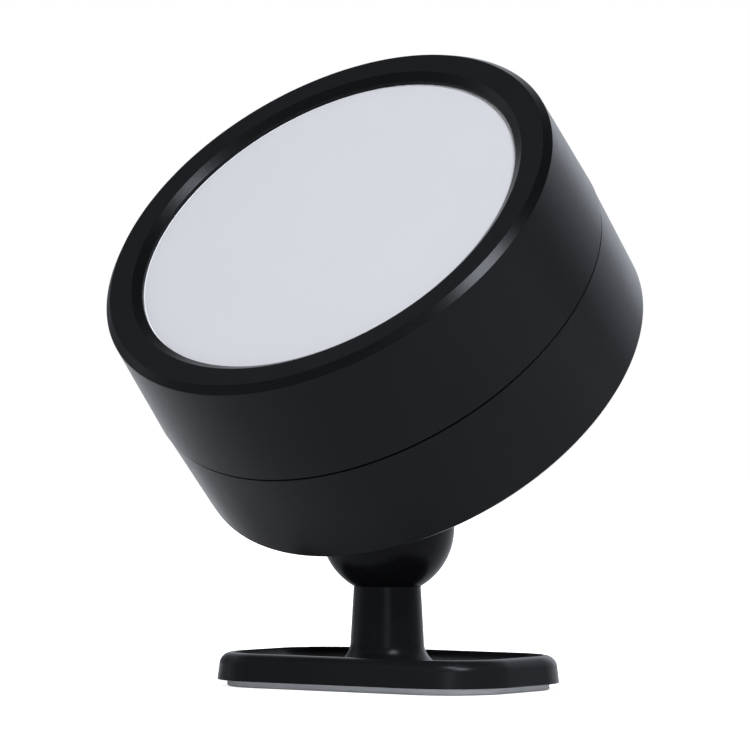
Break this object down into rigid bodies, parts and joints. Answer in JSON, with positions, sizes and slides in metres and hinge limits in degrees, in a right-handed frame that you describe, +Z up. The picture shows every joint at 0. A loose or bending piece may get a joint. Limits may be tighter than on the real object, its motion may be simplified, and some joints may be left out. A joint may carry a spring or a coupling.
{
  "type": "cabinet spotlight",
  "caption": "Drum-shaped rechargeable spotlight that clings by a magnet to a ball on a short post, over an oblong plate with an adhesive pad.",
  "frame": {"origin": "centre of the adhesive pad's lower face, straight below the ball", "axes": "+Z up, out of the pad through the post; +X along the plate's long side; the lamp faces -Y and upwards at rest"},
  "size_m": [0.0734, 0.0742, 0.0951],
  "materials": {
    "black_shell": "fine satin black moulding",
    "black_ball": "satin black coating on steel",
    "pad": "grey adhesive foam",
    "diffuser": "frosted white, unlit",
    "white_plastic": "matt white",
    "lamp_board": "white coated",
    "lamp_chip": "yellow phosphor",
    "grey_plastic": "dark grey",
    "steel": "zinc plated",
    "magnet": "nickel plated",
    "circuit_board": "green solder mask",
    "black_part": "moulded black",
    "plug": "cream nylon",
    "cell": "foil pouch",
    "foam": "double-sided foam",
    "lead_red": "red insulation",
    "lead_black": "black insulation"
  },
  "bodies": {
    "base": {"base_plate": "black_shell", "adhesive_pad": "pad", "post_screw": "steel"},
    "post": {"post": "black_shell"},
    "ball": {"ball": "black_ball"},
    "seat": {"ball_seat": "black_shell", "seat_magnet": "magnet", "magnet_cap": "black_shell"},
    "head": {"front_housing": "black_shell", "rear_cover": "black_shell", "diffuser": "diffuser", "light_box": "white_plastic", "led_board": "lamp_board", "led_1": "lamp_chip", "led_2": "lamp_chip", "led_3": "lamp_chip", "led_4": "lamp_chip", "led_5": "lamp_chip", "led_6": "lamp_chip", "led_7": "lamp_chip", "led_8": "lamp_chip", "led_9": "lamp_chip", "led_10": "lamp_chip", "led_11": "lamp_chip", "led_12": "lamp_chip", "led_screw_1": "steel", "led_screw_2": "steel", "led_screw_3": "steel", "chassis": "grey_plastic", "cover_screw_1": "steel", "cover_screw_2": "steel", "cover_screw_3": "steel", "main_board": "circuit_board", "board_screw_1": "steel", "board_screw_2": "steel", "charging_socket": "steel", "tact_switch": "black_part", "charge_chip": "black_part", "inductor": "black_part", "battery_plug": "plug", "led_plug": "plug", "battery": "cell", "battery_foam": "foam", "battery_lead_red": "lead_red", "battery_lead_black": "lead_black", "led_lead_red": "lead_red", "led_lead_black": "lead_black"},
    "button": {"power_button": "black_shell"}
  },
  "joints": [
    {"name": "ball_pan", "type": "hinge", "parent": "base", "child": "post", "pos_m": [0, 0, 0.02375], "axis": [0, 0, 1], "continuous": true},
    {"name": "ball_tilt", "type": "hinge", "parent": "post", "child": "ball", "pos_m": [0, 0, 0.02375], "axis": [1, 0, 0], "range_deg": [-65, 45]},
    {"name": "head_pull_off", "type": "slide", "parent": "ball", "child": "seat", "axis": [0, -0.723, 0.6909], "range_m": [0, 0.035]},
    {"name": "head_spin", "type": "hinge", "parent": "seat", "child": "head", "pos_m": [0, 0, 0.02375], "axis": [0, -0.723, 0.6909], "range_deg": [-30, 30]},
    {"name": "button_press", "type": "slide", "parent": "head", "child": "button", "axis": [0, -0.723, 0.6909], "range_m": [0, 0.0006], "stiffness_N_per_m": 400, "springref_m": -0.0006}
  ]
}
